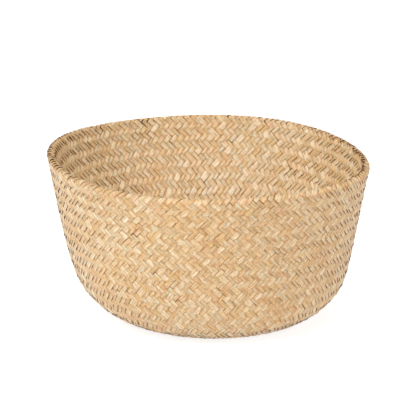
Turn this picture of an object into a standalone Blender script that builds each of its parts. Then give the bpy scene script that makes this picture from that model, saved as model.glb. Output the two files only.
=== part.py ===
"""Belly basket of plaited seagrass with its upper half folded down inside.

The wall is one fabric. Its middle line runs from the base mat round the heel, up the outer side, over the
belly fold and down the inner side to the hem of the mouth, and each zone of it is a turned shell of its own.
The origin is the middle of the underside, +Z is up.
"""

import math

import bpy
import numpy as np

# Folded basket
belly_radius = 0.210
folded_height = 0.212
base_radius = 0.112
wall = 0.0026
clearance = 0.0003

# Level rows of the twill on the face that shows, drawn as one groove to each pair of rows
row_pair_height = 0.0170
row_groove_depth = 0.0009
row_groove_width = 0.0045

# Turn from the base into the wall: the base edge below, the heel above
heel_radius = 0.1735
heel_height = 0.047
heel_lean = math.radians(25)
heel_foot_reach = 0.022
heel_top_reach = 0.022
base_edge_share = 0.5

# Outer side, up to the belly
side_lean = math.radians(11.5)
side_foot_reach = 0.030
side_top_reach = 0.060

# Belly fold, the double edge that is the rim of the folded basket
fold_thickness = 0.010

# Inner side, the upper half turned down inside
inner_top_lean = math.radians(13)
inner_foot_lean = math.radians(19)
inner_top_reach = 0.055
inner_foot_reach = 0.050

# Hem of the mouth, where the strips are turned back and tucked in, just above the heel and inside it
mouth_gap = 0.0205
mouth_rise = 0.0020
hem_height = 0.016
hem_thickness = 0.0050
hem_lean = math.radians(6)
hem_edge_radius = 0.0016

# Facets
turn_steps = 72
turn_points = 11
side_points = 24
fold_points = 9
inner_points = 24
hem_edge_points = 3


def clear_scene():
    for obj in list(bpy.data.objects):
        bpy.data.objects.remove(obj, do_unlink=True)


def make_material(name, colour, roughness):
    material = bpy.data.materials.new(name)
    material.use_nodes = True
    shader = material.node_tree.nodes["Principled BSDF"]
    shader.inputs["Base Color"].default_value = (*colour, 1)
    shader.inputs["Roughness"].default_value = roughness
    shader.inputs["Metallic"].default_value = 0
    return material


def leaning(angle):
    """Unit direction that points up and leans outwards by the angle, as (radius, height)."""
    return np.array([math.sin(angle), math.cos(angle)])


def bezier(start, start_arm, end_arm, end, count):
    """Points along a cubic curve from start to end with the two arms as its handles."""
    t = np.linspace(0, 1, count)[:, None]
    return (
        (1 - t) ** 3 * start
        + 3 * (1 - t) ** 2 * t * start_arm
        + 3 * (1 - t) * t**2 * end_arm
        + t**3 * end
    )


def lengths(line):
    """Length along the line from its start to each of its points."""
    steps = np.linalg.norm(np.diff(line, axis=0), axis=1)
    return np.concatenate([[0], np.cumsum(steps)])


def read_at(line, pairs, places):
    """The pairs that belong to the line's points, read at these lengths from its start."""
    return np.column_stack([np.interp(places, lengths(line), pairs[:, axis]) for axis in (0, 1)])


def trimmed(line, cut):
    """The line with the same length cut off each end."""
    along = lengths(line)
    return read_at(line, line, along.clip(cut, along[-1] - cut))


def right_hand(line):
    """Unit normals on the right of the line's direction, which is outwards on the outer side."""
    direction = np.gradient(line, axis=0)
    direction /= np.linalg.norm(direction, axis=1)[:, None]
    return np.column_stack([direction[:, 1], -direction[:, 0]])


def shell_outline(line):
    """Closed outline of the wall along its middle line, running down its outer side."""
    offset = right_hand(line) * wall / 2
    return np.concatenate([(line + offset)[::-1], line - offset])


def grooved_outline(line):
    """Outline of the wall whose outer side has a V-shaped groove in the middle of each pair of rows."""
    length = lengths(line)[-1]
    pairs = round(length / row_pair_height)
    middles = (np.arange(pairs) + 0.5) * length / pairs
    edges = np.array([-row_groove_width / 2, 0, row_groove_width / 2])
    places = np.concatenate([[0], (middles[:, None] + edges).ravel(), [length]])
    depths = np.concatenate([[0], np.tile([0, row_groove_depth, 0], pairs), [0]])[:, None]
    backs = np.linspace(0, length, pairs + 1)
    out = right_hand(line)
    front = read_at(line, line, places) + read_at(line, out, places) * (wall / 2 - depths)
    back = read_at(line, line, backs) - read_at(line, out, backs) * wall / 2
    return np.concatenate([front[::-1], back])


def turned(name, outline, material, closed=True):
    """An outline of (radius, height) turned once round +Z."""
    mesh = bpy.data.meshes.new(name)
    count = len(outline)
    points = [(radius, 0, height) for radius, height in outline]
    edges = [(i, (i + 1) % count) for i in range(count if closed else count - 1)]
    mesh.from_pydata(points, edges, [])
    mesh.materials.append(material)
    obj = bpy.data.objects.new(name, mesh)
    bpy.context.scene.collection.objects.link(obj)
    screw = obj.modifiers.new("turn", "SCREW")
    screw.steps = turn_steps
    screw.render_steps = turn_steps
    screw.use_merge_vertices = True
    screw.merge_threshold = clearance / 10
    screw.use_smooth_shade = closed
    return obj


def turn_line():
    """Curve from the rim of the flat base up to the foot of the outer side."""
    foot = np.array([base_radius, wall / 2])
    top = np.array([heel_radius, heel_height])
    foot_arm = foot + np.array([heel_foot_reach, 0])
    return bezier(foot, foot_arm, top - heel_top_reach * leaning(heel_lean), top, turn_points)


def base_edge_line():
    return turn_line()[: 1 + round(base_edge_share * (turn_points - 1))]


def heel_line():
    return turn_line()[round(base_edge_share * (turn_points - 1)) :]


def fold_line():
    """Arc over the belly, from the lean of the outer side to the lean of the inner side."""
    half = fold_thickness / 2
    centre = np.array([belly_radius - half, folded_height - half])
    angles = np.linspace(-side_lean, math.pi - inner_top_lean, fold_points)
    return centre + (half - wall / 2) * np.column_stack([np.cos(angles), np.sin(angles)])


def side_line():
    foot = turn_line()[-1]
    top = fold_line()[0]
    foot_arm = foot + side_foot_reach * leaning(heel_lean)
    return bezier(foot, foot_arm, top - side_top_reach * leaning(side_lean), top, side_points)


def mouth_edge():
    return np.array([heel_radius - mouth_gap, heel_height + mouth_rise])


def hem_top():
    return mouth_edge() + hem_height * leaning(hem_lean)


def inner_line():
    top = fold_line()[-1]
    foot = hem_top()
    top_arm = top - inner_top_reach * leaning(inner_top_lean)
    foot_arm = foot + inner_foot_reach * leaning(inner_foot_lean)
    return bezier(top, top_arm, foot_arm, foot, inner_points)


def rounded_band(foot, top, thickness, edge_radius):
    """Closed outline of a band from foot to top with its four edges rounded, running down its outer side."""
    along = (top - foot) / np.linalg.norm(top - foot)
    across = np.array([along[1], -along[0]])
    turns = np.linspace(0, math.pi / 2, hem_edge_points)[:, None]
    corners = []
    for end, side, outward in (
        (top, -across, along),
        (top, across, along),
        (foot, across, -along),
        (foot, -across, -along),
    ):
        centre = end + side * (thickness / 2 - edge_radius) - outward * edge_radius
        arc = centre + edge_radius * (np.cos(turns) * side + np.sin(turns) * outward)
        clockwise = side @ across * (outward @ along) < 0
        corners.append(arc if clockwise else arc[::-1])
    return np.concatenate(corners)


def make_base_mat(material):
    rim = base_radius - clearance / 2
    outline = [(0, wall), (rim, wall), (rim, 0), (0, 0)]
    return turned("base_mat", outline, material, closed=False)


def make_zone(name, line, material):
    """One zone of the wall, half the clearance short of its neighbour at each end."""
    return turned(name, shell_outline(trimmed(line, clearance / 2)), material)


def make_grooved_zone(name, line, material):
    """A zone of the wall whose level rows show as grooves."""
    return turned(name, grooved_outline(trimmed(line, clearance / 2)), material)


def make_mouth_hem(material):
    top = hem_top() - clearance * leaning(hem_lean)
    return turned("mouth_hem", rounded_band(mouth_edge(), top, hem_thickness, hem_edge_radius), material)


def main():
    clear_scene()
    straw = make_material("straw_outside", (0.68, 0.48, 0.27), 0.62)
    golden = make_material("golden_inside", (0.60, 0.37, 0.18), 0.66)
    make_base_mat(straw)
    make_zone("base_edge", base_edge_line(), straw)
    make_zone("heel", heel_line(), straw)
    make_grooved_zone("outer_side", side_line(), straw)
    make_zone("belly_fold", fold_line(), straw)
    make_grooved_zone("inner_side", inner_line(), golden)
    make_mouth_hem(golden)


main()
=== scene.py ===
"""Belly basket of plaited grass with its upper half folded down inside, in a white studio.

The fabric is one sheet in 2/2 twill. Its middle line is turned round +Z, and the strips follow two mirrored
families of lines on that surface. The strips are equally wide all the way up, so they stand steeper where
the basket is narrower.
"""

import functools
import math

import bpy
import numpy as np
from bpy.props import FloatProperty, FloatVectorProperty, IntProperty, PointerProperty
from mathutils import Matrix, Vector


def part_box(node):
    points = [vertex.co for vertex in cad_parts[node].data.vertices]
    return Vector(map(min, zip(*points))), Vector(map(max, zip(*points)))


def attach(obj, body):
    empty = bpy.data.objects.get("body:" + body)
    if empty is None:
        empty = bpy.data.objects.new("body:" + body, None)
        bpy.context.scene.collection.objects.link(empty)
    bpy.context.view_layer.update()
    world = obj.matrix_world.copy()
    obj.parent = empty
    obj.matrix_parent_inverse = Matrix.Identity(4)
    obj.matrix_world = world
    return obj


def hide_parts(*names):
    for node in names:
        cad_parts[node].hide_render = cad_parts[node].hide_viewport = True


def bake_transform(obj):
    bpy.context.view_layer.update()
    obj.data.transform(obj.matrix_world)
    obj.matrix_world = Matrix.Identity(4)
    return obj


bl_info = {
    "name": "Plaited belly basket",
    "version": (1, 0, 0),
    "blender": (4, 5, 0),
    "location": "3D View > Sidebar > Basket",
    "description": "Plaits the strips of a folded belly basket round its frame",
    "category": "Add Mesh",
}

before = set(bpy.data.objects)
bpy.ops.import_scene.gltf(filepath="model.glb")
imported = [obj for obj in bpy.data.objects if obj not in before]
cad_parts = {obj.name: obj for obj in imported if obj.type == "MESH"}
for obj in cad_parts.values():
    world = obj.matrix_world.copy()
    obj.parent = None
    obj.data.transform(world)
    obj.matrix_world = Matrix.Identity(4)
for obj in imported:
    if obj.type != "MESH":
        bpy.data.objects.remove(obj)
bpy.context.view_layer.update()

BODY = "basket"
MOUTH = "mouth"


def metres(name, description, default):
    """A length."""
    return FloatProperty(name=name, description=description, default=default, unit="LENGTH")


def degrees(name, description, default):
    """An angle, with its default in degrees."""
    return FloatProperty(name=name, description=description, default=math.radians(default), subtype="ANGLE")


def plain(name, description, default):
    """A share, a slant or a number of rows."""
    return FloatProperty(name=name, description=description, default=default)


def tint(name, description, default):
    """A colour as red, green and blue."""
    return FloatVectorProperty(name=name, description=description, default=default, size=3, subtype="COLOR")


class BasketSizes(bpy.types.PropertyGroup):
    """Sizes of the folded basket and of its plaiting."""

    belly_radius: metres(
        "Belly radius", "Radius of the folded rim, its widest place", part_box("belly_fold")[1].x
    )
    folded_height: metres("Folded height", "Height of the rim above the floor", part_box("belly_fold")[1].z)
    base_radius: metres("Base radius", "Radius of the flat of the base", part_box("base_mat")[1].x)
    wall: metres("Wall", "Thickness of the plaited sheet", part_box("base_mat")[1].z)
    heel_radius: metres("Heel radius", "Radius at the top of the heel", 0.1735)
    heel_height: metres("Heel height", "Height of the top of the heel", 0.047)
    heel_reach: metres("Heel reach", "Length of the arms of the heel's curve", 0.022)
    heel_lean: degrees("Heel lean", "Lean of the wall at the heel", 25)
    side_lean: degrees("Side lean", "Lean of the wall at the rim", 11.5)
    side_foot_reach: metres("Side foot reach", "Lower arm of the side's curve", 0.030)
    side_top_reach: metres("Side top reach", "Upper arm of the side's curve", 0.060)
    fold_thickness: metres("Fold thickness", "Thickness of the double edge at the rim", 0.010)
    inner_top_lean: degrees("Inner top lean", "Lean of the folded-in wall below the rim", 13)
    inner_foot_lean: degrees("Inner foot lean", "Lean of the folded-in wall above the hem", 19)
    inner_top_reach: metres("Inner top reach", "Upper arm of the inner curve", 0.055)
    inner_foot_reach: metres("Inner foot reach", "Lower arm of the inner curve", 0.050)
    mouth_radius: metres("Mouth radius", "Radius of the hem at the mouth's edge", 0.153)
    mouth_height: metres(
        "Mouth height", "Height of the mouth's edge while it is folded in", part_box("mouth_hem")[0].z
    )
    hem_height: metres(
        "Hem height", "Height of the turned-back hem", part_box("mouth_hem")[1].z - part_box("mouth_hem")[0].z
    )
    hem_lean: degrees("Hem lean", "Lean of the hem", 6)
    hem_layer_gap: metres("Hem layer gap", "Distance between the middles of the hem's two layers", 0.0025)
    ring_along: metres("Ring", "Distance along the sheet to the edge of the base's square", 0.1215)
    base_scale: metres("Base scale", "Half the side of the base's square where it lies flat", 0.105)
    square_radius: metres("Square radius", "Radius up to which the strips cross square to each other", 0.120)
    slant_radius: metres("Slant radius", "Radius from which the strips have the slant of the wall", 0.140)
    rim_tilt: metres("Rim tilt", "How much higher the rim stands on the left than at its middle", 0.0057)
    rim_wave: metres("Rim wave", "Height of the three low waves round the rim", 0.0026)
    oval: metres("Oval", "How far the rim is pressed out of round, corner to corner", 0.0013)
    base_offset: metres("Base offset", "How far the base sits to the right of the rim", 0.0080)
    rim_offset: metres("Rim offset", "How far the rim sits to the left of the middle", 0.0025)
    seed: IntProperty(name="Seed", description="Start of every random draw", default=11)
    quarter_strips: IntProperty(
        name="Strips in a quarter",
        description="Strips that lean one way in a quarter of the wall",
        default=36,
    )
    strip_pitch: metres(
        "Strip pitch", "Distance between the middles of neighbouring strips on the wall", 0.00603
    )
    steepest: plain("Steepest slant", "Least travel round for a unit of climb", 0.5)
    thickness: metres("Strip thickness", "Thickness of a strip", 0.0009)
    lift: metres("Lift", "Distance of a float's middle from the sheet's middle", 0.0010)
    crest_opening: plain("Crest opening", "Share by which the strips draw in at the crest of the fold", 0.20)
    crest_rows: plain("Crest rows", "How many rows from the crest the opening fades away", 0.8)
    crest_reach: plain("Crest reach", "Rows from the crest where a float's forward edge laps the next", 1.2)
    cover: plain("Cover", "Share of its own room that a strip fills", 1.0)
    uneven: plain("Unevenness", "How far the bounds between strips move, as a share of their pitch", 0.27)
    wander: plain("Wander", "Sideways wander of a strip as a share of its pitch", 0.05)
    arch: degrees("Arch", "How far a strip's edges face outwards, as if it were arched", 16)
    tilt: degrees("Tilt", "Spread of the floats' tilt about their length", 4)
    shingle: degrees("Shingle", "How far the floats lie like shingles, lower edge over the next one", 11)


class BasketColours(bpy.types.PropertyGroup):
    """Colours of the dry grass."""

    cream: tint("Cream", "Palest strips", (0.86, 0.71, 0.50))
    straw: tint("Straw", "Most strips", (0.80, 0.62, 0.38))
    peach: tint("Peach", "Reddish strips", (0.80, 0.57, 0.35))
    golden: tint("Golden", "Ripest strips", (0.78, 0.54, 0.26))
    sage: tint("Sage", "Grey-green strips, the narrow ones", (0.74, 0.66, 0.49))
    tan: tint("Tan", "Dull strips", (0.71, 0.51, 0.27))
    # brown also paints shade on the strips' side faces and in the pockets by float ends, and partly on their
    # edges
    brown: tint("Brown", "Edges and flecks", (0.44, 0.215, 0.085))
    # shade is also the tint of the painted shade at laps and at the foot
    shade: tint("Shade", "Tint of the darker fibres", (0.62, 0.37, 0.17))
    # Painted warm shade, laid under floats and under a neighbour's lapping edge
    under_shade: tint("Glow", "Tint of what lies under a float", (1.0, 0.66, 0.34))
    # Painted shadow: the black of shaded gaps at float ends, on lower flanks, on the crest and at the sole
    gap: tint("Gap", "Dark bends where strips dive", (0.085, 0.030, 0.010))


# Points on the sheet's middle line, and the radius where it starts as a share of the wall
FLAT_POINTS = 80
HEEL_POINTS = 40
WALL_POINTS = 90
FOLD_POINTS = 24
HEM_POINTS = 16
POLE_SHARE = 0.01


def leaning(angle):
    """Unit direction that points up and leans outwards by the angle, as (radius, height)."""
    return np.array([math.sin(angle), math.cos(angle)])


def bezier(start, start_arm, end_arm, end, count):
    """Points along a cubic curve: the Bernstein sum of the two ends and the two arms."""
    t = np.linspace(0, 1, count)[:, None]
    s = 1 - t
    return s**3 * start + 3 * s**2 * t * start_arm + 3 * s * t**2 * end_arm + t**3 * end


def arc(centre, radius, start, end, count):
    """Points on a circle about centre from the angle start to the angle end."""
    angle = np.linspace(start, end, count)
    return centre + radius * np.column_stack([np.cos(angle), np.sin(angle)])


def eased(share):
    """Smooth step: 3 s^2 - 2 s^3 of a share held between 0 and 1."""
    share = share.clip(0, 1)
    return share**2 * (3 - 2 * share)


class Sheet:
    """Middle line of the plaited sheet, from the centre of the base to the tucked end of the hem.

    along is arc length. slant is how far a strip travels round for a unit of climb: strips that are p apart
    round a ring of N and radius r have the slant sqrt((2 pi r / (N p))^2 - 1). turn is the angle that a
    strip has travelled round, the integral of slant * arc length / radius, counted from the ring where the
    square of the base becomes the round wall. bounds are the half rows where base, heel, side, fold,
    inner side and hem end.
    """

    def __init__(self, sizes):
        radii = np.geomspace(sizes.wall * POLE_SHARE, sizes.base_radius, FLAT_POINTS)
        flat = np.array([[radius, sizes.wall / 2] for radius in radii])
        heel_top = np.array([sizes.heel_radius, sizes.heel_height])
        heel = bezier(
            flat[-1],
            flat[-1] + np.array([sizes.heel_reach, 0]),
            heel_top - sizes.heel_reach * leaning(sizes.heel_lean),
            heel_top,
            HEEL_POINTS,
        )
        half = sizes.fold_thickness / 2
        centre = np.array([sizes.belly_radius - half, sizes.folded_height - half])
        bend = half - sizes.wall / 2
        fold = arc(centre, bend, -sizes.side_lean, math.pi - sizes.inner_top_lean, FOLD_POINTS)
        side = bezier(
            heel_top,
            heel_top + sizes.side_foot_reach * leaning(sizes.heel_lean),
            fold[0] - sizes.side_top_reach * leaning(sizes.side_lean),
            fold[0],
            WALL_POINTS,
        )
        mouth = np.array([sizes.mouth_radius, sizes.mouth_height])
        up = leaning(sizes.hem_lean)
        hem_top = mouth + sizes.hem_height * up
        inner = bezier(
            fold[-1],
            fold[-1] - sizes.inner_top_reach * leaning(sizes.inner_top_lean),
            hem_top + sizes.inner_foot_reach * leaning(sizes.inner_foot_lean),
            hem_top,
            WALL_POINTS,
        )
        zones = [flat, heel, side, fold, inner, self.hem_points(sizes, mouth, up)]
        self.points = np.concatenate([zones[0], *[zone[1:] for zone in zones[1:]]])
        steps = np.linalg.norm(np.diff(self.points, axis=0), axis=1)
        self.along = self.points[0, 0] + np.concatenate([[0], np.cumsum(steps)])
        direction = np.gradient(self.points, self.along, axis=0)
        direction /= np.linalg.norm(direction, axis=1)[:, None]
        self.normals = np.column_stack([direction[:, 1], -direction[:, 0]])
        rate = self.slants(sizes, self.points[:, 0]) / self.points[:, 0]
        growth = np.concatenate([[0], np.cumsum(steps * (rate[1:] + rate[:-1]) / 2)])
        self.turn = growth - np.interp(sizes.ring_along, self.along, growth)
        self.crest = self.turn[np.argmax(self.points[:, 1])]
        ends = self.turn[np.cumsum([len(zone) - 1 for zone in zones])[1:]]
        step = math.pi / (4 * sizes.quarter_strips)
        self.bounds = [BASE_LAST_ROW, *(np.floor(ends / step) + 0.5).tolist()]

    @staticmethod
    def slants(sizes, radii):
        """Slant at these radii: that of the wall, eased into 1 where the base's square begins."""
        room = 2 * math.pi * radii / (4 * sizes.quarter_strips)
        wall = np.sqrt(((room / sizes.strip_pitch) ** 2 - 1).clip(sizes.steepest**2))
        share = eased((radii - sizes.square_radius) / (sizes.slant_radius - sizes.square_radius))
        return 1 + share * (wall - 1)

    @staticmethod
    def hem_points(sizes, mouth, up):
        """Down the visible layer of the hem, round its edge in half a circle and up the hidden layer."""
        across = np.array([up[1], -up[0]])
        bend = sizes.hem_layer_gap / 2
        edge = mouth + up * (bend + sizes.wall / 2)
        angle = math.atan2(-across[1], -across[0])
        turned = arc(edge, bend, angle, angle + math.pi, HEM_POINTS)
        top = mouth + up * sizes.hem_height
        lower_arm = turned[0] + up * sizes.hem_height / 2
        joined = bezier(top, top - up * bend * 2, lower_arm, turned[0], FOLD_POINTS)
        climb = np.linspace(0, 1, HEM_POINTS)[1:, None]
        hidden = turned[-1] + up * (sizes.hem_height - sizes.wall) * climb
        return np.concatenate([joined, turned[1:], hidden])

    def read(self, turn=None, along=None):
        """(radius, height, normal's radius, normal's height) at these turns or arc lengths."""
        at, line = (turn, self.turn) if along is None else (along, self.along)
        columns = (self.points[:, 0], self.points[:, 1], self.normals[:, 0], self.normals[:, 1])
        return tuple(np.interp(at, line, column) for column in columns)


def on_surface(sheet, angle, turn=None, along=None):
    """Points and normals of the turned sheet: (r cos a, r sin a, z) and (n cos a, n sin a, m)."""
    radius, height, out, rise = sheet.read(turn, along)
    cos, sin = np.cos(angle), np.sin(angle)
    points = np.stack([radius * cos, radius * sin, height + 0 * angle], -1)
    normals = np.stack([out * cos, out * sin, rise + 0 * angle], -1)
    return points, normals


# Twill: how short a dive is and how far a float reaches past its row, as shares, and the swell of a float
DIVE = 0.10
FLOAT_REACH = 0.15
SWELL = 0.10

# Where the samples of a strip lie about each crossing, in rows
PLAIN_OFFSETS = (-0.40, 0.40)
FINE_OFFSETS = (-0.40, -0.13, 0.13, 0.40)


def twill(row, over):
    """Height of a strip over the sheet's middle, from -1 to 1: two rows over, then two rows under.

    It is a sine with a period of four rows, raised a little and cut off flat so that the dives are short
    and begin right at the crossing strip's edge, with a low swell on each float. over is 1, or -1 for the
    other lean.
    """
    wave = over * np.sin(math.pi / 2 * (row + 0.5))
    return ((wave + FLOAT_REACH) / math.sin(math.pi / 2 * DIVE)).clip(-1, 1) * (1 + SWELL * np.abs(wave))


def samples_between(first, last, offsets):
    """Samples of a strip between two half rows: the crossing of each, and its offset from that."""
    rows = np.arange(round(first + 0.5), round(last + 0.5))
    row = np.repeat(rows, len(offsets))
    offset = np.tile(offsets, len(rows))
    return np.concatenate([rows[:1], row, rows[-1:]]), np.concatenate([[-0.5], offset, [0.5]])


# Spread of the strips' tones, what ripeness counts beside width in them, and the slow waves along a strip
TONE_SPREAD = 0.10
RIPENESS = 0.22
WAVE_SINES = 4
WAVE_RATES = (0.10, 0.45)


class StripStock:
    """What each of the base's strips is like, drawn once, so that it keeps its look up the wall.

    The strips of a set lie side by side between bounds that are moved at random from an even pitch, so each
    has a width of its own, and move is how far its middle lies from the even place. The bounds at a set's
    ends and middle stay even, because strips of the two sets become neighbours there on the wall.
    """

    def __init__(self, sizes):
        self.quarter = sizes.quarter_strips
        self.count = 4 * self.quarter
        draw = np.random.default_rng(sizes.seed)
        bounds = draw.uniform(-sizes.uneven, sizes.uneven, (2, 2 * self.quarter + 1))
        bounds[:, [0, self.quarter, -1]] = 0
        self.width = (1 + np.diff(bounds, axis=1)).ravel()
        self.move = ((bounds[:, 1:] + bounds[:, :-1]) / 2).ravel()
        ripeness = draw.normal(0, 1, self.count)
        rank = np.argsort(np.argsort(-self.width + RIPENESS * ripeness)) / (self.count - 1)
        tone = (rank + draw.normal(0, TONE_SPREAD, self.count)).clip(0, 1)
        speckle, shift = draw.random(self.count), draw.random(self.count)
        self.looks = np.column_stack([tone, speckle, shift])
        self.phase = draw.random((self.count, WAVE_SINES)) * 2 * math.pi
        self.rate = draw.uniform(*WAVE_RATES, (self.count, WAVE_SINES))
        self.draw = draw
        self.right, self.left = self.wall_tables()

    def wave(self, ids, place):
        """Slow random wave along each strip: the sum of its sines of the place, scaled to about one."""
        phase = self.phase[ids][..., None, :]
        rate = self.rate[ids][..., None, :]
        return np.sin(place[..., None] * rate + phase).sum(-1) / math.sqrt(WAVE_SINES)

    def wall_tables(self):
        """What each right-leaning and each left-leaning strip of the wall is in the base.

        A row holds its strip in the base, which end of it, the places from there to the strip's middle, and
        the sign of its move. With q strips to a quarter, strip n of the first set is number q / 2 - 1 - n on
        the wall at one end, and n - 3 q / 2 or n + 5 q / 2 at the other. The second set is its mirror image.
        """
        quarter, total = self.quarter, self.count
        number = np.arange(-quarter, quarter)
        upper = number >= 0
        first = (quarter // 2 - 1 - number) % total
        second = np.where(upper, number - 3 * quarter // 2, number + 5 * quarter // 2) % total
        reach = quarter - np.abs(number + 0.5)
        ids = number + quarter
        right, left = np.zeros((2, total, 4))
        for place, end in ((first, 1), (second, -1)):
            goes_right = upper == (end > 0)
            for table, mirror, chosen in ((right, left, goes_right), (left, right, ~goes_right)):
                same = end + 0 * ids
                table[place[chosen]] = np.column_stack([ids, same, reach, -same])[chosen]
                mirrored = (-1 - place[chosen]) % total
                mirror[mirrored] = np.column_stack([ids + 2 * quarter, same, reach, same])[chosen]
        return right, left


# A strip's rails, and the corners of its section: the rail of each, and how far up it stands
RAILS = np.array([-1.0, 0.0, 1.0])
SECTION_RAILS = np.array([0, 1, 2, 2, 1, 0])
SECTION_UP = np.array([0.80, 1.0, 0.80, -0.80, -1.0, -0.80])
END_CAP = np.array([[0, 1, 4, 5], [1, 2, 3, 4]])
SHARP_EDGE = math.radians(55)


def linked(name, data):
    """A new object of the data, in the scene."""
    obj = bpy.data.objects.new(name, data)
    bpy.context.scene.collection.objects.link(obj)
    return obj


def hand_shape(points, sizes):
    """Moves points as the maker's hand and the folding left the basket.

    With t = z / folded height, q = radius / belly radius and a = angle round: the height gains
    t * (-tilt q cos a - wave q^3 cos 3a), the radius gains t * oval * q * -sin 2a, and x gains
    base offset * (1 - t)^3 - rim offset. What would lie below the floor is pressed flat on it.
    """
    x, y, z = points.T
    t = z / sizes.folded_height
    q = np.hypot(x, y) / sizes.belly_radius
    angle = np.arctan2(y, x)
    climb = -sizes.rim_tilt * q * np.cos(angle) - sizes.rim_wave * q**3 * np.cos(3 * angle)
    swell = -t * sizes.oval * q * np.sin(2 * angle)
    shift = sizes.base_offset * (1 - t) ** 3 - sizes.rim_offset
    x, y = x + swell * np.cos(angle) + shift, y + swell * np.sin(angle)
    return np.column_stack([x, y, (z + t * climb).clip(0)])


def ribbons(name, rails, normals, rise, facing, sizes, tones, place, kept):
    """Mesh of many strips, each a flat lens-shaped section carried along its three rails.

    The rails are the strip's left edge, middle and right edge on the sheet. A point of the section is
    rail + normal * (rise + thickness / 2 * up). Arrays are strips by samples, by rails. facing is the way
    that the flat of the strip faces, and shades it. kept masks the samples that exist, one run for each.
    """
    size = len(SECTION_RAILS)
    lift = rise[..., SECTION_RAILS] + sizes.thickness / 2 * SECTION_UP
    points = rails[:, :, SECTION_RAILS] + normals[:, :, SECTION_RAILS] * lift[..., None]
    number = np.arange(place.size).reshape(place.shape)
    joined = kept[:, :-1] & kept[:, 1:]
    here = number[:, :-1][joined][:, None] * size
    there = number[:, 1:][joined][:, None] * size
    corner = np.arange(size)
    following = (corner + 1) % size
    sides = np.stack([here + corner, here + following, there + following, there + corner], -1).reshape(-1, 4)
    before = np.pad(kept, ((0, 0), (1, 0)))[:, :-1]
    after = np.pad(kept, ((0, 0), (0, 1)))[:, 1:]
    starts = number[kept & ~before][:, None, None] * size
    ends = number[kept & ~after][:, None, None] * size
    caps = [(starts + END_CAP[:, ::-1]).reshape(-1, 4), (ends + END_CAP).reshape(-1, 4)]
    faces = np.concatenate([sides, *caps])
    used = np.zeros(place.size * size, bool)
    used[faces] = True
    faces = (np.cumsum(used) - 1)[faces]
    placed = hand_shape(points.reshape(-1, 3)[used], sizes)
    mesh = bpy.data.meshes.new(name)
    mesh.vertices.add(len(placed))
    mesh.vertices.foreach_set("co", placed.astype(np.float32).ravel())
    mesh.loops.add(faces.size)
    mesh.loops.foreach_set("vertex_index", faces.astype(np.int32).ravel())
    mesh.polygons.add(len(faces))
    mesh.polygons.foreach_set("loop_start", np.arange(0, faces.size, 4, dtype=np.int32))
    mesh.update(calc_edges=True)
    mesh.validate()
    map_strips(mesh, faces, used, place, tones)
    mesh.shade_smooth()
    mesh.set_sharp_from_angle(angle=SHARP_EDGE)
    shade_flats(mesh, facing, joined, len(sides))
    return linked(name, mesh)


def shade_flats(mesh, facing, joined, count):
    """Shades the strips' upper and lower faces by the way they face, and leaves edges and ends as they are.

    facing is strips by samples by rails, so that a strip can be shaded as if it were arched. count is the
    number of faces along the strips, which come before those at their ends.
    """
    front = np.zeros((len(SECTION_RAILS), 1, 1))
    front[:2], front[3:5] = 1, -1
    following = np.roll(SECTION_RAILS, -1)
    near, far = facing[:, :-1][joined], facing[:, 1:][joined]
    corners = [near[:, SECTION_RAILS], near[:, following], far[:, following], far[:, SECTION_RAILS]]
    whole = np.zeros((len(mesh.polygons), 4, 3))
    whole[:count] = (np.stack(corners, 2) * front).reshape(-1, 4, 3)
    mesh.normals_split_custom_set(whole.reshape(-1, 3))


def map_strips(mesh, faces, used, place, tones):
    """UV map with u across the strip and v along it, and the strip's tones as vectors on the points.

    Where the upper face lies under the crossing strips, the lower face is a float on the sheet's other side,
    so the span has the other sign there.
    """
    size = len(SECTION_RAILS)
    width = np.broadcast_to(SECTION_RAILS / 2, (*place.shape, size)).reshape(-1)[used]
    length = np.repeat(place.reshape(-1), size)[used]
    coordinates = np.column_stack([width, length])
    layer = mesh.uv_layers.new(name="strip")
    layer.data.foreach_set("uv", coordinates[faces.ravel()].astype(np.float32).ravel())
    for label, value in tones.items():
        spread = np.repeat(value.reshape(-1, 1, 3), size, axis=1)
        if label == "float_tone":
            spread[:, :, 1] *= np.sign(SECTION_UP)
        attribute = mesh.attributes.new(label, "FLOAT_VECTOR", "POINT")
        attribute.data.foreach_set("vector", spread.reshape(-1, 3)[used].astype(np.float32).ravel())


# Ripple of a strip's width, and how the floats differ in height, shade and lap at the crest
RIPPLE = 0.05
RIPPLE_RATE = 2.3
LIFT_SPREAD = 0.12
SHINGLE_SHADE = 2.5
CREST_SHINGLE = 0.6

# The crest: rows from the top to its middle, how far it is closed in front, how soon its lap turns forward
# towards the sides, and the rows in which one lap passes into another
CREST_MIDDLE = 0.5
CREST_FRONT = 0.7
CREST_FORWARD = 1.2
LAP_ROWS = 0.4


def float_rolls(stock, strips, number):
    """Random values from -1 to 1 for each numbered float of each strip, as three arrays."""
    number = np.broadcast_to(number, (strips, number.shape[-1])) - number.min()
    table = stock.draw.uniform(-1, 1, (3, strips, number.max() + 1))
    return np.take_along_axis(table, np.broadcast_to(number, (3, *number.shape)), axis=2)


def half_widths(stock, sizes, ids, place):
    """Half of each strip's width in pitches, with a slow ripple along it."""
    ripple = 1 + RIPPLE * stock.wave(ids, place * RIPPLE_RATE)
    return sizes.cover / 2 * stock.width[ids][:, None] * ripple


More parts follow.
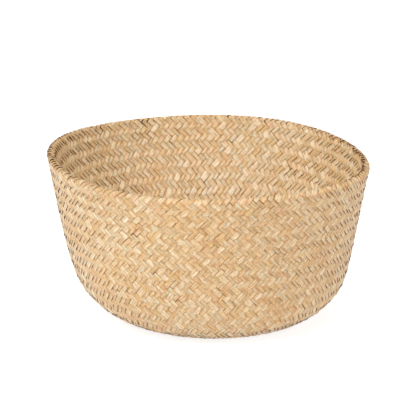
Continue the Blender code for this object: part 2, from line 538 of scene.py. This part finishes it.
def lay_strips(name, stock, sizes, ids, place, row, over, run, rolls, bend, lower, kept):
    """Gives strips their lift, tilt and tones, and makes their mesh.

    run is (rails, normals). over is 1 where rows 0 and 1 of each four lie over the crossing strips, else -1.
    bend is 1 at the crest of the fold. lower is 1 where u = 1 is the strip's lower edge, -1 where u = 0 is.
    span is how many rows a point is from its float's end, less than 0 underneath. A rail rises by the twill's
    height plus its distance from the middle * tan((shingle * lower + tilt * roll) * sin(pi / 2 * |span|)).
    """
    rails, normals = run
    half_width = np.linalg.norm(rails[:, :, 2] - rails[:, :, 0], axis=-1) / 2
    level = twill(row, over) + 0 * place
    ahead = (row + 0.5) % 2
    inward = np.minimum(ahead, 2 - ahead)
    span = np.sign(over * np.sin(math.pi / 2 * (row + 0.5))) * inward + 0 * place
    height = sizes.lift * level * (1 + LIFT_SPREAD * rolls[0])
    hump = np.sin(math.pi / 2 * inward)
    leaned = sizes.shingle * lower * (1 + CREST_SHINGLE * bend) + sizes.tilt * rolls[1]
    slope = np.tan(leaned * hump) * half_width
    rise = height[..., None] + slope[..., None] * RAILS
    across = (rails[:, :, 2] - rails[:, :, 0]) / (2 * half_width[..., None])
    arched = math.tan(sizes.arch) * RAILS - SHINGLE_SHADE * (slope / half_width)[..., None]
    facing = normals[:, :, 1:2] + across[:, :, None] * arched[..., None]
    facing /= np.linalg.norm(facing, axis=-1)[..., None]
    tones = {
        "strip_tone": np.broadcast_to(stock.looks[ids][:, None], (*place.shape, 3)),
        "float_tone": np.stack([rolls[2], span, rolls[0]], -1),
        "bend_tone": np.stack([bend + 0 * place, lower + 0 * place, 0 * place], -1),
    }
    return ribbons(name, rails, normals, rise, facing, sizes, tones, place, kept)


def wall_strips(name, sheet, stock, sizes, first_row, last_row, rightward, offsets):
    """The strips of one lean between two half rows of the round wall.

    Even strips have turn = row * pitch / 2 and angle = pitch * (i + 1/2) plus or minus that turn. A sample
    moves along its strip with the strip it crosses, and across with its own move. Its rails are on the lines
    of the crossing family, so the strip wraps round the fold and dives where the crossing strips' edges are.
    With d rows from the crest and a = angle round, bend is exp(-(d / crest rows)^2), and less in front by a
    share of sin(a)^2. lower is the lean outside and its opposite inside, so the lower edge laps the next
    strip. On the crest it follows -cos(a) * |cos(a)|, so the edge in front does.
    """
    pitch = 2 * math.pi / stock.count
    lean = 1 if rightward else -1
    own, other = (stock.right, stock.left) if rightward else (stock.left, stock.right)
    crossing, offset = samples_between(first_row, last_row, offsets)
    number = np.arange(stock.count)[:, None]
    met = other[(number + lean * crossing) % stock.count]
    met_ids = met[..., 0].astype(int)
    ids = own[:, 0].astype(int)
    climb = crossing + lean * met[..., 3] * stock.move[met_ids] + offset * stock.width[met_ids]
    row = (crossing + offset)[None, :]
    place = own[:, 1:2] * (row + own[:, 2:3])
    crest = sheet.crest / (pitch / 2)
    off_crest = row - crest - CREST_MIDDLE
    around = pitch * (number + 0.5) + lean * climb * pitch / 2
    sideways, nearer = np.cos(around), -np.sin(around)
    bend = np.exp(-((off_crest / sizes.crest_rows) ** 2)) * (1 - CREST_FRONT * nearer.clip(0) ** 2)
    half = half_widths(stock, sizes, ids, place) * (1 - sizes.crest_opening * bend)
    middle = (own[:, 3] * stock.move[ids])[:, None] + sizes.wander * stock.wave(ids, place)
    move = middle[..., None] + half[..., None] * RAILS
    turn = (climb[..., None] - lean * move) * pitch / 2
    angle = pitch * (number[..., None] + 0.5) + (lean * climb[..., None] + move) * pitch / 2
    run = on_surface(sheet, angle, turn=turn)
    rolls = float_rolls(stock, stock.count, np.floor((row + 0.5) / 2).astype(int))
    on_crest = ((sizes.crest_reach - np.abs(off_crest)) / LAP_ROWS).clip(0, 1)
    forward = (-CREST_FORWARD * sideways * np.abs(sideways)).clip(-1, 1)
    lower = (1 - on_crest) * lean * ((crest - row) / LAP_ROWS).clip(-1, 1) + on_crest * forward
    kept = np.ones(place.shape, bool)
    return lay_strips(name, stock, sizes, ids, place, row, lean, run, rolls, bend, lower, kept)


# Share of the base's square that lies flat and straight, and the wall's row where the base's strips end
FLAT_SHARE = 0.42
BASE_LAST_ROW = 0.5


def base_run(sheet, sizes, quarter, number, place, mirrored):
    """Centres and normals of the base's strips on the surface.

    The unrolled base is a square of half side 1 whose edges become the wall. Strip number n is the line
    x - y = (2 n + 1) / quarter, and place counts its crossings from the diagonal. A point's row is set by the
    larger of |x| and |y|. Near the centre the square lies flat and straight, and towards its edge the arc
    length and the angle pass smoothly into those of the round wall.
    """
    x = (place + number + 0.5) / quarter
    y = (place - number - 0.5) / quarter
    climbed = np.maximum(np.abs(x), np.abs(y))
    edge = np.where(np.abs(x) >= np.abs(y), np.where(x > 0, 0, 2), np.where(y > 0, 1, -1))
    bearing = np.arctan2(y, x)
    bearing = np.where((edge == 2) & (bearing < 0), bearing + 2 * math.pi, bearing) - edge * math.pi / 2
    inside = 2 * edge + np.tan(bearing.clip(-math.pi / 4, math.pi / 4))
    upper = number + 0 * place >= 0
    on_wall = np.where(upper, np.where(place > 0, y, x - 2), np.where(place > 0, 2 - x, 4 - y))
    perimeter = np.where(climbed < 1, inside, on_wall)
    side = np.round(perimeter / 2)
    q = perimeter - 2 * side
    straight = sizes.base_scale * climbed * np.sqrt(1 + q**2)
    round_along = np.interp((climbed - 1) * math.pi / 4, sheet.turn, sheet.along)
    blend = eased((climbed - FLAT_SHARE) / (1 - FLAT_SHARE))
    along = (1 - blend) * straight + blend * round_along
    angle = side * math.pi / 2 + (1 - blend) * np.arctan(q) + blend * math.pi / 4 * q
    return on_surface(sheet, -angle if mirrored else angle, along=along)


def base_strips(name, sheet, stock, sizes, mirrored):
    """The strips of one set through the base and up both ends to the wall's first half row.

    With q strips to a quarter, strip n crosses the diagonal at place 0 and leaves the square at place
    q - |n + 1/2|. Its rows count on from there, so the twill runs into the wall without a break.
    """
    quarter, offsets = stock.quarter, PLAIN_OFFSETS
    halves = np.arange(4 * quarter).reshape(2, -1)
    own, other = halves[::-1] if mirrored else halves
    number = np.arange(-quarter, quarter)[:, None]
    reach = quarter - np.abs(number + 0.5)
    end = reach + BASE_LAST_ROW
    crossing = np.repeat(np.arange(-quarter - 1, quarter + 1) + 0.5, len(offsets))
    width = np.repeat(np.pad(stock.width[other], 1, constant_values=1), len(offsets))
    move = np.repeat(np.pad(stock.move[other], 1), len(offsets))
    even = (crossing + np.tile(offsets, 2 * quarter + 2))[None, :]
    kept = np.abs(even) < end + 0.5
    even = even.clip(-end, end)
    place = crossing + move + (even - crossing) * width
    half = half_widths(stock, sizes, own, even)
    turned = 1 if mirrored else -1
    middle = number + stock.move[own][:, None] + sizes.wander * stock.wave(own, even)
    moved = middle[..., None] + turned * half[..., None] * RAILS
    run = base_run(sheet, sizes, quarter, moved, place[..., None], mirrored)
    row = np.abs(even) - reach
    over = -turned * np.sign((number + 0.5) * even)
    lower = -turned * np.sign(number + 0.5) * np.abs(even / 2).clip(0, 1)
    floats = np.floor((row + 0.5) / 2).astype(int)
    floats = np.where(even > 0, floats, -floats - quarter)
    rolls = float_rolls(stock, 2 * quarter, floats)
    return lay_strips(name, stock, sizes, own, even, row, over, run, rolls, 0.0, lower, kept)


class Reading:
    """One output of a shader node, whose arithmetic adds Math nodes."""

    def __init__(self, nodes, socket):
        self.nodes = nodes
        self.socket = socket

    def beside(self, output):
        """Another output of the same node."""
        return Reading(self.nodes, self.socket.node.outputs[output])

    def __add__(self, other):
        return self.nodes.math("ADD", self, other)

    def __radd__(self, other):
        return self.nodes.math("ADD", other, self)

    def __sub__(self, other):
        return self.nodes.math("SUBTRACT", self, other)

    def __rsub__(self, other):
        return self.nodes.math("SUBTRACT", other, self)

    def __mul__(self, other):
        return self.nodes.math("MULTIPLY", self, other)

    def __rmul__(self, other):
        return self.nodes.math("MULTIPLY", other, self)

    def __abs__(self):
        return self.nodes.math("ABSOLUTE", self, 0)

    def fraction(self):
        return self.nodes.math("FRACT", self, 0)

    def larger(self, other):
        return self.nodes.math("MAXIMUM", self, other)

    def between(self, low, high):
        """Smooth step of the value from low to high."""
        settings = {"interpolation_type": "SMOOTHSTEP"}
        return self.nodes.add("ShaderNodeMapRange", settings, {0: self, 1: low, 2: high, 3: 0.0, 4: 1.0})


class Nodes:
    """The shader nodes of a material or a world."""

    def __init__(self, owner):
        owner.use_nodes = True
        self.tree = owner.node_tree

    def add(self, kind, settings=None, sockets=None, output=0):
        """Adds a node: settings first, then a value or a link for each named or numbered socket."""
        node = self.tree.nodes.new(kind)
        for key, value in (settings or {}).items():
            if key == "stops":
                self.set_stops(node.color_ramp, value)
            else:
                setattr(node, key, value)
        for key, value in (sockets or {}).items():
            self.put(node.inputs[key], value)
        return Reading(self, node.outputs[output])

    def put(self, socket, value):
        """Links a reading to the socket, or sets a number or a colour on it."""
        if isinstance(value, Reading):
            self.tree.links.new(value.socket, socket)
        elif isinstance(value, (int, float)):
            socket.default_value = value
        else:
            socket.default_value = (*value, 1)

    @staticmethod
    def set_stops(ramp, stops):
        while len(ramp.elements) < len(stops):
            ramp.elements.new(1)
        for element, (position, colour) in zip(ramp.elements, stops):
            element.position = position
            element.color = (*colour, 1)

    def math(self, operation, first, second):
        return self.add("ShaderNodeMath", {"operation": operation}, {0: first, 1: second})

    def mix(self, factor, first, second, blend="MIX"):
        """The first colour passing into the second one, or multiplied by it, as far as the factor says."""
        settings = {"data_type": "RGBA", "blend_type": blend}
        return self.add("ShaderNodeMix", settings, {0: factor, 6: first, 7: second}, 2)

    def split(self, vector):
        first = self.add("ShaderNodeSeparateXYZ", None, {0: vector})
        return first, first.beside(1), first.beside(2)

    def joined(self, x, y, z):
        return self.add("ShaderNodeCombineXYZ", None, {0: x, 1: y, 2: z})

    def noise(self, vector, detail=2.0, roughness=0.5, scale=1.0):
        values = {"Vector": vector, "Scale": scale, "Detail": detail, "Roughness": roughness}
        return self.add("ShaderNodeTexNoise", None, values)

    def attribute(self, name):
        """A vector attribute of the mesh, as its three numbers."""
        return self.split(self.add("ShaderNodeAttribute", {"attribute_name": name}, None, "Vector"))


# Where each colour lies on the ramp of tones
TONE_STOPS = {"cream": 0.0, "straw": 0.25, "peach": 0.48, "golden": 0.68, "sage": 0.82, "tan": 0.97}

# Noises of a strip: how fine each is across and along it, and how far from the others
FIBRES = (4.6, 1.2, 0.0)
STREAKS = (3.2, 0.16, 31.0)
PATCHES = (0.9, 0.5, 57.0)
FLECKS = (3.2, 1.1, 83.0)

# How far apart the noises of two strips lie at most, and how fine the patches of painted gap shadow are
STRIPS_APART = 97.0
CLUSTER_SCALE = 26.0

# How far a patch, a float and the second half of a strip move the tone
PATCH_TONE = 0.75
FLOAT_TONE = 0.10
HALF_TONE = 0.9

# How far fibres, floats and second halves darken a strip, and the painted shade of laps on the wall and more
# at the foot
FIBRE_SHADE = 2.4
FLOAT_SHADE = 0.10
HALF_SHADE = 0.4
LAP_SHADE = 0.22
FOOT_LAP_SHADE = 0.8

# The foot is painted lighter and with stronger painted shade, and the sole gets painted shadow in its gaps,
# up to these heights in metres
FOOT_LIGHT = 0.40
FOOT_CONTRAST = 1.6
FOOT_HEIGHTS = (0.0, 0.05)
SOLE_HEIGHTS = (0.010, 0.028)

# Sheen and the relief of the fibres
ROUGHNESS = 0.42
FIBRE_ROUGHNESS = 0.3
SPECULAR = 0.45
RELIEF = 0.0004
RELIEF_STRENGTH = 0.8


def grass_finish(name, colours, contrast, dull):
    """Dry split grass: a tone for each strip, fibres along it, brown edges and flecks, painted shade, a low
    sheen.

    u runs across a strip and v along it. down runs from -0.5 at a float's upper edge to 0.5 at its lower
    one, and span is how many rows a point is from its float's end. A roll is a random value of each float, a
    lot one of each strip. A paired strip is two halves that meet at a seam. The tone's colour is darkened by
    streaks and fibres and, as painted shade, at laps and the foot, and the foot is painted lighter. It gets a
    painted warm shade under floats, is browned on edges (partly painted shade), seams and in flecks, gets
    painted brown shade on side faces and in pockets, and painted black shadow as in shaded gaps: in patches
    at some float ends, on lower flanks, on the fold's crest and at the sole.
    """
    material = bpy.data.materials.new(name)
    finish = Nodes(material)

    def lot(factor):
        """Random value of the strip from 0 to 1."""
        return (shift * factor).fraction()

    def grain(scales, detail=2.0, roughness=0.5):
        """Noise drawn out along the strip, different on each one."""
        across, along, offset = scales
        point = finish.joined(u * across, v * along, shift * STRIPS_APART + offset)
        return finish.noise(point, detail, roughness)

    u, v, _ = finish.split(finish.add("ShaderNodeUVMap", {"uv_map": "strip"}))
    tone, speckle, shift = finish.attribute("strip_tone")
    roll, span, second_roll = finish.attribute("float_tone")
    bend, lower, _ = finish.attribute("bend_tone")
    down = (u - 0.5) * lower
    object_place = finish.add("ShaderNodeTexCoord", output="Object")
    height = finish.split(object_place)[2]
    foot = 1.0 - height.between(*FOOT_HEIGHTS)
    sole = 1.0 - height.between(*SOLE_HEIGHTS)
    fibres = grain(FIBRES, 3.0, 0.6)
    streaks = grain(STREAKS)
    cluster = finish.noise(object_place, scale=CLUSTER_SCALE)
    seam = 0.3 + lot(7.31) * 0.4
    paired = lot(13.7).between(0.40, 0.42)
    second = (u - seam).between(-0.015, 0.015) * paired
    flank = 1.0 - (0.5 - abs(u - 0.5)).between(0.0, 0.004)

    other = second * (lot(29.3) - 0.5) * HALF_TONE
    place = tone + (grain(PATCHES) - 0.5) * PATCH_TONE + roll * FLOAT_TONE + other
    stops = [(at, tuple(getattr(colours, label))) for label, at in TONE_STOPS.items()]
    colour = finish.add("ShaderNodeValToRGB", {"stops": stops}, {0: place})

    shade = (0.5 - streaks) + (0.5 - fibres) * FIBRE_SHADE - roll * FLOAT_SHADE
    shade = shade + second * (lot(41.9) - 0.5) * HALF_SHADE
    # Painted shade: darker towards each float's lower edge and near its ends, more so at the foot
    painted_lap_shade = down.between(0.10, 0.50) + (1.0 - span.between(0.0, 0.3)) * (second_roll * 0.45 + 0.35)
    # Painted light: the foot is lighter, and its shading stronger
    amount = dull - foot * FOOT_LIGHT + shade * (foot * FOOT_CONTRAST + contrast)
    amount = amount + painted_lap_shade * (foot * FOOT_LAP_SHADE + LAP_SHADE)
    colour = finish.mix(amount, colour, colours.shade, "MULTIPLY")
    # Painted warm shade under floats and under a neighbour's lapping upper edge
    tucked_shade = (1.0 - span.between(-0.10, 0.10)).larger((0.0 - down).between(0.34, 0.48) * 0.7)
    colour = finish.mix(tucked_shade, colour, colours.under_shade, "MULTIPLY")

    # Brown edges: partly the grass's own colour, and on each upper edge painted shade under the neighbour's
    # lap
    edge = abs(u - 0.5).between(0.42, 0.47) * (lot(19.1) * 0.35 + roll * 0.2)
    edge = edge.larger((0.0 - down).between(0.43, 0.47) * (0.25 + second_roll * 0.25))
    crease = (1.0 - abs(u - seam).between(0.01, 0.06)) * paired * 0.55
    colour = finish.mix(edge.larger(crease), colour, colours.brown)
    spot = grain(FLECKS).between(0.64, 0.74) * (0.10 + speckle * 0.40)
    colour = finish.mix(spot, colour, colours.brown)
    # Painted shade: brown in the pockets by a float's end and on the strips' side faces
    pocket_shade = span.between(-0.45, -0.20) * (1.0 - span.between(-0.10, -0.02))
    colour = finish.mix((pocket_shade * 0.25).larger(flank * 0.4), colour, colours.brown)

    # Painted shadow: black as in shaded gaps, in patches at float ends, on the fold's crest, on lower flanks
    # and at the sole
    end_shade_patches = (cluster + second_roll * 0.16 + foot * 0.05).between(0.62, 0.72)
    mouth = (1.0 - span.between(0.06, 0.16)) * end_shade_patches
    gap_shade_patches = (second_roll + cluster * 2.0).between(0.5, 0.9)
    crest = bend * flank.larger(1.0 - span.between(-0.6, -0.3)) * gap_shade_patches
    underside = 1.0 - (0.5 - down).between(0.0, 0.004)
    contact = sole * down.between(0.05, 0.35) * gap_shade_patches
    dark = mouth.larger(crest).larger(underside.larger(contact))
    colour = finish.mix(dark * 0.94, colour, colours.gap)

    relief = fibres * 0.6 + streaks * 0.4
    bump = {"Strength": RELIEF_STRENGTH, "Distance": RELIEF, "Height": relief}
    inputs = finish.tree.nodes["Principled BSDF"].inputs
    finish.put(inputs["Base Color"], colour)
    finish.put(inputs["Roughness"], ROUGHNESS + (fibres - 0.5) * FIBRE_ROUGHNESS)
    finish.put(inputs["Normal"], finish.add("ShaderNodeBump", None, bump))
    finish.put(inputs["Specular IOR Level"], SPECULAR)
    return material


@functools.cache
def workshop():
    """The sheet, the stock of strips and the sizes, worked out once for all the operators."""
    sizes = bpy.context.scene.basket_sizes
    return Sheet(sizes), StripStock(sizes), sizes


# Name, contrast and dullness of the grass on the face that shows outside and on the folded-in half; the
# folded-in half is the same grass painted brighter and with more contrast, for the light inside the basket
OUTSIDE_GRASS = ("dry_grass_outside", 1.0, 0.23)
INSIDE_GRASS = ("dry_grass_inside", 1.35, -0.04)


def grass(colours, outside):
    """The finish of the face that shows outside, or the same grass painted brighter and with more contrast
    inside.
    """
    name, contrast, dull = OUTSIDE_GRASS if outside else INSIDE_GRASS
    return bpy.data.materials.get(name) or grass_finish(name, colours, contrast, dull)


def plait_zone(context, label, zone, outside, offsets=PLAIN_OFFSETS):
    """Both leans of one zone of the wall, with their finish."""
    sheet, stock, sizes = workshop()
    material = grass(context.scene.basket_colours, outside)
    first, last = sheet.bounds[zone : zone + 2]
    pieces = []
    for side in ("right", "left"):
        piece = wall_strips(f"{label}_{side}", sheet, stock, sizes, first, last, side == "right", offsets)
        piece.data.materials.append(material)
        pieces.append(piece)
    return pieces


class BASKET_OT_base(bpy.types.Operator):
    """Plait the base as two sets of straight strips whose ends turn up into the wall"""

    bl_idname = "basket.plait_base"
    bl_label = "Plait base"

    def execute(self, context):
        made = workshop()
        material = grass(context.scene.basket_colours, True)
        first = base_strips("base_strips_first", *made, False)
        second = base_strips("base_strips_second", *made, True)
        for piece in (first, second):
            piece.data.materials.append(material)
            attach(piece, BODY)
        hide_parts("base_mat", "base_edge")
        return {"FINISHED"}


class BASKET_OT_wall(bpy.types.Operator):
    """Plait the heel and the outer side, and carry the strips over the belly fold"""

    bl_idname = "basket.plait_wall"
    bl_label = "Plait heel, outer side and fold"

    zones = (
        ("heel_strips", "heel", PLAIN_OFFSETS),
        ("side_strips", "outer_side", PLAIN_OFFSETS),
        ("fold_strips", "belly_fold", FINE_OFFSETS),
    )

    def execute(self, context):
        for zone, (label, node, offsets) in enumerate(self.zones):
            pieces = plait_zone(context, label, zone, True, offsets)
            for piece in pieces:
                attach(piece, BODY)
            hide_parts(node)
        return {"FINISHED"}


class BASKET_OT_inner(bpy.types.Operator):
    """Plait the upper half that is folded down inside; on the real basket it turns out as the mouth is pulled
    up
    """

    bl_idname = "basket.plait_inner"
    bl_label = "Plait inner side"

    def execute(self, context):
        pieces = plait_zone(context, "inner_strips", 3, False)
        for piece in pieces:
            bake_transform(piece)
        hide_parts("inner_side")
        return {"FINISHED"}


class BASKET_OT_hem(bpy.types.Operator):
    """Turn the strips round the mouth's edge and lay them back up behind it"""

    bl_idname = "basket.turn_hem"
    bl_label = "Turn mouth hem"

    def execute(self, context):
        pieces = plait_zone(context, "hem_strips", 4, False, FINE_OFFSETS)
        for piece in pieces:
            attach(piece, MOUTH)
        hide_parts("mouth_hem")
        return {"FINISHED"}


# How far the floor reaches each way, and what it gives the basket and the camera: it glows, lighting the
# basket from below in place of bounced light
FLOOR_REACH = 6.0
WHITE = (1.0, 1.0, 1.0)
PAPER = (0.80, 0.80, 0.80)
PAPER_LIGHT = 0.28
CAMERA_PAPER = (0.48, 0.50, 0.53)
CAMERA_PAPER_LIGHT = 0.80

# Soft light from all round, and the lamps: name, place, side, watts and colour
AMBIENT = 0.42
AMBIENT_TINT = (1.0, 0.92, 0.76)
LAMP_WHITE = (0.98, 0.99, 1.0)
LAMP_COOL = (0.36, 0.74, 1.0)
LAMPS = (
    ("key", (-1.6, -2.0, 3.3), 2.6, 113.0, LAMP_WHITE),
    ("fill", (2.5, -1.9, 1.7), 2.2, 22.0, LAMP_WHITE),
    ("top", (0.3, 0.6, 3.0), 2.4, 20.0, LAMP_WHITE),
    ("side", (-2.6, -0.9, 0.22), 0.4, 5.5, LAMP_COOL),
)
LAMP_AIM = Vector((0, 0, 0.1))


def glowing(nodes, colour, strength):
    """A diffuse surface that also gives off white light."""
    diffuse = nodes.add("ShaderNodeBsdfDiffuse", None, {"Color": colour})
    emission = nodes.add("ShaderNodeEmission", None, {"Color": WHITE, "Strength": strength})
    return nodes.add("ShaderNodeAddShader", None, {0: diffuse, 1: emission})


def studio_finish():
    """White floor: the camera sees it lit up to white, less what the basket's shadow takes away, and it glows
    onto the basket in place of bounced light.
    """
    material = bpy.data.materials.new("studio_white")
    finish = Nodes(material)
    camera = finish.add("ShaderNodeLightPath", output="Is Camera Ray")
    looked_at = camera + camera.beside("Is Glossy Ray") + camera.beside("Is Transmission Ray")
    seen = finish.math("MINIMUM", looked_at, 1.0)
    lit = glowing(finish, PAPER, PAPER_LIGHT)
    white = glowing(finish, CAMERA_PAPER, CAMERA_PAPER_LIGHT)
    both = finish.add("ShaderNodeMixShader", None, {0: seen, 1: lit, 2: white})
    finish.put(finish.tree.nodes["Material Output"].inputs["Surface"], both)
    return material


def white_world():
    """World: white to the camera and through glass, and a plain soft warm light on everything."""
    world = bpy.data.worlds.new("studio")
    nodes = Nodes(world)
    camera = nodes.add("ShaderNodeLightPath", output="Is Camera Ray")
    seen = camera.larger(camera.beside("Is Transmission Ray"))
    strength = nodes.add("ShaderNodeMapRange", None, {"Value": seen, "To Min": AMBIENT, "To Max": 1.0})
    background = nodes.tree.nodes["Background"]
    nodes.put(background.inputs["Strength"], strength)
    nodes.put(background.inputs["Color"], nodes.mix(seen, AMBIENT_TINT, WHITE))
    bpy.context.scene.world = world


def aimed(name, data, place, aim):
    """A lamp or a camera at a place, facing the aim."""
    obj = linked(name, data)
    obj.location = place
    obj.rotation_euler = (aim - Vector(place)).to_track_quat("-Z", "Y").to_euler()
    return obj


def area_lamp(name, place, side, power, colour):
    """A square lamp at a place, facing the basket."""
    lamp = bpy.data.lights.new(name, "AREA")
    lamp.size = side
    lamp.energy = power
    lamp.color = colour
    aimed(name, lamp, place, LAMP_AIM)


# The photograph's side in pixels, the basket's middle in it, and the camera that gives that view
IMAGE_SIDE = 416
CENTRE_PIXEL = (210.35, 232.0)
FOCAL_PIXELS = 2388.0
CAMERA_DISTANCE = 3.15
CAMERA_ELEVATION = math.radians(17.49)


def photo_camera(height):
    """Camera at the photograph's angle: the basket's middle falls on CENTRE_PIXEL."""
    middle = Vector((0, 0, height / 2))
    back = Vector((0, -math.cos(CAMERA_ELEVATION), math.sin(CAMERA_ELEVATION)))
    place = middle + CAMERA_DISTANCE * back
    level = (-back).to_track_quat("-Z", "Y")
    right, up = level @ Vector((1, 0, 0)), level @ Vector((0, 1, 0))
    pixel = CAMERA_DISTANCE / FOCAL_PIXELS
    image_middle = IMAGE_SIDE / 2
    across, down = CENTRE_PIXEL
    aim = middle + right * (image_middle - across) * pixel + up * (down - image_middle) * pixel
    camera = bpy.data.cameras.new("photo_camera")
    camera.lens = camera.sensor_width * FOCAL_PIXELS / IMAGE_SIDE
    bpy.context.scene.camera = aimed("photo_camera", camera, place, aim)


class BASKET_OT_stage(bpy.types.Operator):
    """Set the white floor, the soft lamps and the camera"""

    bl_idname = "basket.set_stage"
    bl_label = "Set stage"

    def execute(self, context):
        floor = bpy.data.meshes.new("floor")
        points = np.array([[-1, -1, 0], [1, -1, 0], [1, 1, 0], [-1, 1, 0]]) * FLOOR_REACH
        floor.from_pydata(points.tolist(), [], [(0, 1, 2, 3)])
        floor.materials.append(studio_finish())
        obj = linked("floor", floor)
        for lamp in LAMPS:
            area_lamp(*lamp)
        white_world()
        photo_camera(context.scene.basket_sizes.folded_height)
        context.scene.view_settings.view_transform = "Standard"
        return {"FINISHED"}


class BASKET_PT_panel(bpy.types.Panel):
    """Sizes, colours and steps of the basket"""

    bl_label = "Belly basket"
    bl_idname = "BASKET_PT_panel"
    bl_space_type = "VIEW_3D"
    bl_region_type = "UI"
    bl_category = "Basket"

    def draw(self, context):
        for group in (context.scene.basket_sizes, context.scene.basket_colours):
            for name in group.__annotations__:
                self.layout.prop(group, name)
        for operator in OPERATORS:
            self.layout.operator(operator.bl_idname)


OPERATORS = (BASKET_OT_base, BASKET_OT_wall, BASKET_OT_inner, BASKET_OT_hem, BASKET_OT_stage)
CLASSES = (BasketSizes, BasketColours, *OPERATORS, BASKET_PT_panel)


def register():
    for cls in CLASSES:
        bpy.utils.register_class(cls)
    bpy.types.Scene.basket_sizes = PointerProperty(type=BasketSizes)
    bpy.types.Scene.basket_colours = PointerProperty(type=BasketColours)


def unregister():
    del bpy.types.Scene.basket_colours
    del bpy.types.Scene.basket_sizes
    for cls in reversed(CLASSES):
        bpy.utils.unregister_class(cls)


def main():
    register()
    bpy.ops.basket.plait_base()
    bpy.ops.basket.plait_wall()
    bpy.ops.basket.plait_inner()
    bpy.ops.basket.turn_hem()
    bpy.ops.basket.set_stage()


if __name__ == "__main__":
    main()
